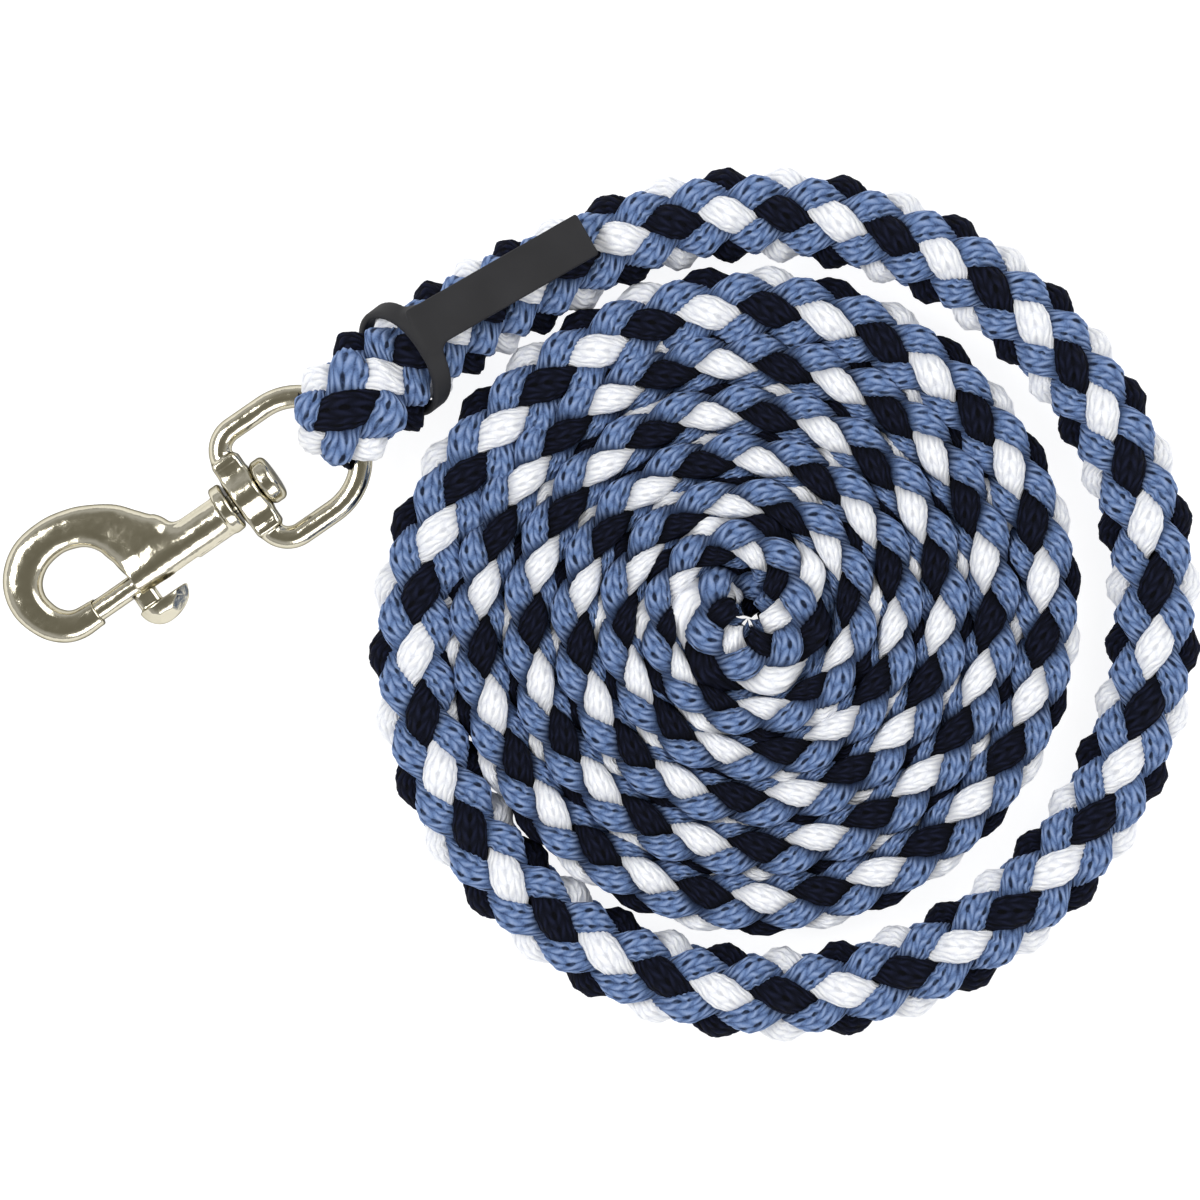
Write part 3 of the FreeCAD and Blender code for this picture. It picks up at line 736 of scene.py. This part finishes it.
def ramp(nodes, links, fac, stops):
    node = nodes.new("ShaderNodeValToRGB")
    element = node.color_ramp.elements
    while len(element) < len(stops):
        element.new(0.5)
    for e, (at, colour) in zip(element, stops):
        e.position = at
        e.color = (*colour, 1)
    links.new(fac, node.inputs[0])
    return node.outputs[0]


def add_bump(nodes, links, shader, height, strength, depth):
    bump = nodes.new("ShaderNodeBump")
    bump.inputs["Strength"].default_value = strength
    bump.inputs["Distance"].default_value = depth
    links.new(height, bump.inputs["Height"])
    links.new(bump.outputs[0], shader.inputs["Normal"])


def noise(nodes, links, scale, detail, vector):
    node = nodes.new("ShaderNodeTexNoise")
    node.inputs["Scale"].default_value = scale
    node.inputs["Detail"].default_value = detail
    links.new(vector, node.inputs["Vector"])
    return node.outputs["Fac"]


HOLE_ALONG, HOLE_ACROSS, HOLE_EDGE = 0.33, 0.15, 1.9    # stitches, ribs, sharpness
PATCH_SCALE, FIBRE_SCALE = 420.0, 2600.0                # to the metre
HOLE_TONE, DIVE_SHADE_TONE = 0.12, 0.3                        # share of the dark colour, for the painted shade in pin-holes and dives
CORD_ROUGH, CORD_SPECULAR, CORD_SHEEN_ROUGH, CORD_BUMP = 0.9, 0.12, 0.45, 0.0006


def knit_material(name, colours, hole_strength, dive_shade_strength, bump_strength, sheen):
    """Knitted cord. The knit attribute holds stitches along, ribs across, and how open a
    point is to the light. colours are the dark, middle and light ones: the dark one is painted
    shade in grooves, pin-holes and dives as well as the yarn's darker tone, and the light one is
    painted highlight on ridges as well as the yarn's lighter tone."""
    shade_and_dark_tone, body, highlight_and_light_tone = colours
    material, nodes, links, shader = new_material(name)
    attribute = nodes.new("ShaderNodeAttribute")
    attribute.attribute_name = "knit"
    split = nodes.new("ShaderNodeSeparateXYZ")
    links.new(attribute.outputs["Vector"], split.inputs[0])
    place = nodes.new("ShaderNodeTexCoord").outputs["Object"]

    def m(*args, **kw):
        return math_node(nodes, links, *args, **kw)

    su, sv, lit_share = split.outputs
    nearest = m("ROUND", sv)
    leg_at = m("ABSOLUTE", m("SUBTRACT", sv, nearest))
    off = m("DIVIDE", m("SUBTRACT", leg_at, RIB_MIDDLE), RIB_HALF_W)
    ridge = m("SUBTRACT", 1.0, m("MULTIPLY", off, off), clamp=True)
    wave = m("COSINE", m("MULTIPLY", m("SUBTRACT", su, m("MULTIPLY", leg_at, V_SLOPE)), TAU))
    stitch = m("ADD", m("MULTIPLY", wave, 0.35), 0.65)
    height = m("MULTIPLY", ridge, stitch)
    # pin-holes at the root of each stitch: the holes are real, their dark colour is painted shade
    along_at = m("SUBTRACT", m("FRACT", m("ADD", su, m("MULTIPLY", nearest, 0.5))), 0.5)
    a = m("DIVIDE", along_at, HOLE_ALONG)
    b = m("DIVIDE", leg_at, HOLE_ACROSS)
    hole = m("SUBTRACT", 1.0, m("ADD", m("MULTIPLY", a, a), m("MULTIPLY", b, b)), clamp=True)
    patchy = noise(nodes, links, PATCH_SCALE, 2.0, place)
    hole = m("MULTIPLY", m("MULTIPLY", hole, HOLE_EDGE, clamp=True), lit_share)
    hole = m("MULTIPLY", hole, m("MULTIPLY_ADD", patchy, 3.2, -0.75, clamp=True), clamp=True)
    hole = m("MULTIPLY", hole, hole_strength)
    fibre = noise(nodes, links, FIBRE_SCALE, 3.0, place)
    # painted shade and highlight: the colour is darker in the knit's grooves and lighter on its
    # ridges; the fibre and patchy noise add random tone
    tone = m("ADD", m("MULTIPLY", height, 0.60), m("MULTIPLY", fibre, 0.34))
    tone = m("ADD", tone, m("MULTIPLY", patchy, 0.14))
    colour = ramp(nodes, links, tone, ((0.20, shade_and_dark_tone), (0.50, body), (0.95, highlight_and_light_tone)))
    # painted shade in the pin-holes
    hole_shade_mix = nodes.new("ShaderNodeMixRGB")
    hole_shade_mix.inputs[2].default_value = (*[v * HOLE_TONE for v in shade_and_dark_tone], 1)
    links.new(hole, hole_shade_mix.inputs[0])
    links.new(colour, hole_shade_mix.inputs[1])
    # painted shade: darker where a strand dives between its neighbours and on its underside
    dive_shade_mix = nodes.new("ShaderNodeMixRGB")
    dive_shade_mix.inputs[2].default_value = (*[v * DIVE_SHADE_TONE for v in shade_and_dark_tone], 1)
    dive_shade_amount = m("MULTIPLY", m("SUBTRACT", 1.0, lit_share), dive_shade_strength, clamp=True)
    links.new(dive_shade_amount, dive_shade_mix.inputs[0])
    links.new(hole_shade_mix.outputs[0], dive_shade_mix.inputs[1])
    links.new(dive_shade_mix.outputs[0], shader.inputs["Base Color"])
    shader.inputs["Roughness"].default_value = CORD_ROUGH
    shader.inputs["Specular IOR Level"].default_value = CORD_SPECULAR
    shader.inputs["Sheen Weight"].default_value = sheen
    shader.inputs["Sheen Roughness"].default_value = CORD_SHEEN_ROUGH
    surface = m("ADD", height, m("MULTIPLY", fibre, 0.22))
    surface = m("SUBTRACT", surface, m("MULTIPLY", hole, 0.8))
    add_bump(nodes, links, shader, surface, bump_strength, CORD_BUMP)
    return material


def srgb(*rgb):
    """Linear values of a colour given as 0..255."""
    shares = [v / 255 for v in rgb]
    return tuple(v / 12.92 if v <= 0.04045 else ((v + 0.055) / 1.055) ** 2.4 for v in shares)


# each cord: material name; dark, middle and light colours, whose dark and light ends hold painted
# shade and painted highlight; strengths of the painted shade in pin-holes and in dives; bump
# strength; sheen
CORD_COLOURS = {
    "blue": ("knit_light_blue", (srgb(30, 44, 82), srgb(101, 126, 171), srgb(146, 165, 204)),
             0.88, 1.0, 0.75, 0.05),
    "navy": ("knit_navy", (srgb(2, 3, 11), srgb(11, 14, 29), srgb(25, 29, 50)),
             0.8, 1.0, 0.75, 0.0),
    "white": ("knit_white", (srgb(206, 209, 221), srgb(240, 242, 247), srgb(250, 251, 253)),
              0.16, 0.65, 0.55, 0.05),
}
cords = {colour: knit_material(*look) for colour, look in CORD_COLOURS.items()}
for name, obj in strands.items():
    obj.data.materials.append(cords[strand_colour[name]])

METAL_FINE, METAL_BROAD, METAL_DENTS = 900.0, 120.0, 330.0      # to the metre
METAL_BUMP, METAL_EDGE = 0.0004, 0.15                           # m, share of the tint


def metal_material(name, tint, rough, uneven):
    material, nodes, links, shader = new_material(name)
    place = nodes.new("ShaderNodeTexCoord").outputs["Object"]
    fine = noise(nodes, links, METAL_FINE, 3.0, place)
    broad = noise(nodes, links, METAL_BROAD, 2.0, place)
    dents = noise(nodes, links, METAL_DENTS, 1.0, place)
    colour = ramp(nodes, links, broad, ((0.3, tuple(v * 0.93 for v in tint)), (0.7, tint)))
    links.new(colour, shader.inputs["Base Color"])
    shader.inputs["Metallic"].default_value = 1.0
    shader.inputs["Specular Tint"].default_value = (*[v * METAL_EDGE for v in tint], 1)
    dull = math_node(nodes, links, "MULTIPLY_ADD", fine, rough * 0.8, rough * 0.6)
    links.new(dull, shader.inputs["Roughness"])
    height = math_node(nodes, links, "MULTIPLY_ADD", fine, 0.2, broad)
    height = math_node(nodes, links, "MULTIPLY_ADD", dents, 0.6, height)
    add_bump(nodes, links, shader, height, uneven, METAL_BUMP)
    return material


nickel = metal_material("nickel_plate", (0.68, 0.64, 0.515), 0.16, 0.55)
steel = metal_material("spring_wire", (0.55, 0.55, 0.55), 0.3, 0.1)
for obj in (snap, eye, knob):
    obj.data.materials.append(nickel)
coils.data.materials.append(steel)
for node in ("swivel_stem", "snap_bolt"):
    for material_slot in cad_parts[node].material_slots:
        material_slot.material = nickel

rubber, nodes, links, shader = new_material("tag_rubber_matte")
place = nodes.new("ShaderNodeTexCoord").outputs["Object"]
grain = noise(nodes, links, 1800.0, 3.0, place)
cloud = noise(nodes, links, 90.0, 2.0, place)
shade = ramp(nodes, links, cloud, ((0.3, srgb(29, 29, 32)), (0.7, srgb(36, 36, 39))))
links.new(shade, shader.inputs["Base Color"])
shader.inputs["Roughness"].default_value = 0.7
shader.inputs["Specular IOR Level"].default_value = 0.35
add_bump(nodes, links, shader, grain, 0.25, 0.0001)
tag.data.materials.append(rubber)

# ================================================================ riding, and the CAD parts that are hidden
for obj in strands.values():
    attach(obj, "rope")
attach(tag, "rope")
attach(eye, "eye")
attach(snap, "snap")
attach(knob, "bolt")
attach(coils, "snap")
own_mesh(coils)
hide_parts("rope_coil", "splice_tail")
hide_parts("rope_lead")
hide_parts("rope_loop")
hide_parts("rubber_tag")
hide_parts("swivel_eye")
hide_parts("snap_body")
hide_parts("thumb_knob")
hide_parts("bolt_spring")

# ================================================================ floor and light
FLOOR_HALF, FLOOR_GLOW, WORLD_LIGHT = 3, 0.88, 0.62     # m, strengths
floor_mesh = bpy.data.meshes.new("floor")
corners = [(x * FLOOR_HALF, y * FLOOR_HALF, 0) for x, y in ((-1, -1), (1, -1), (1, 1), (-1, 1))]
floor_mesh.from_pydata(corners, [], [(0, 1, 2, 3)])
floor = add_object("floor", floor_mesh)
floor.location.z = -0.0002              # just clear of what rests on it
paper, nodes, links, shader = new_material("paper")
shader.inputs["Base Color"].default_value = (0.3, 0.3, 0.3, 1)
shader.inputs["Roughness"].default_value = 0.9
shader.inputs["Emission Color"].default_value = (1, 1, 1, 1)
shader.inputs["Emission Strength"].default_value = FLOOR_GLOW
floor.data.materials.append(paper)


def soft_box(name, at, size, power):
    """A rectangular light aimed at the coil's middle."""
    light = bpy.data.lights.new(name, "AREA")
    light.shape = "RECTANGLE"
    light.size, light.size_y = size
    light.energy = power
    obj = bpy.data.objects.new(name, light)
    bpy.context.scene.collection.objects.link(obj)
    obj.location = at
    obj.rotation_euler = (-Vector(at)).to_track_quat("-Z", "Y").to_euler()


soft_box("key", (-0.9, 0.9, 1.3), (0.9, 0.9), 20.0)
soft_box("fill", (1.1, 0.2, 1.1), (1.2, 1.2), 12.0)
soft_box("low", (-0.2, -1.3, 0.9), (1.4, 0.8), 10.5)

# a studio that is bright at the sides and darker overhead, so the metal has contrast
world = bpy.data.worlds.new("studio")
bpy.context.scene.world = world
world.use_nodes = True
nodes, links = world.node_tree.nodes, world.node_tree.links
back = nodes["Background"]
direction = nodes.new("ShaderNodeSeparateXYZ")
outlook = nodes.new("ShaderNodeTexCoord").outputs["Generated"]
links.new(outlook, direction.inputs[0])
clouds = noise(nodes, links, 1.7, 1.0, outlook)
height = math_node(nodes, links, "MULTIPLY_ADD", clouds, 0.5, -0.25)
height = math_node(nodes, links, "ADD", height, direction.outputs[2])
SKY = ((0.0, (0.55, 0.55, 0.55)), (0.22, (0.90, 0.90, 0.90)), (0.50, (0.81, 0.81, 0.81)),
       (0.68, (0.47, 0.46, 0.42)), (0.80, (0.355, 0.34, 0.29)), (0.92, (0.30, 0.286, 0.235)))
sky = ramp(nodes, links, height, SKY)
links.new(sky, back.inputs[0])
back.inputs[1].default_value = WORLD_LIGHT
bpy.context.scene.view_settings.view_transform = "Standard"
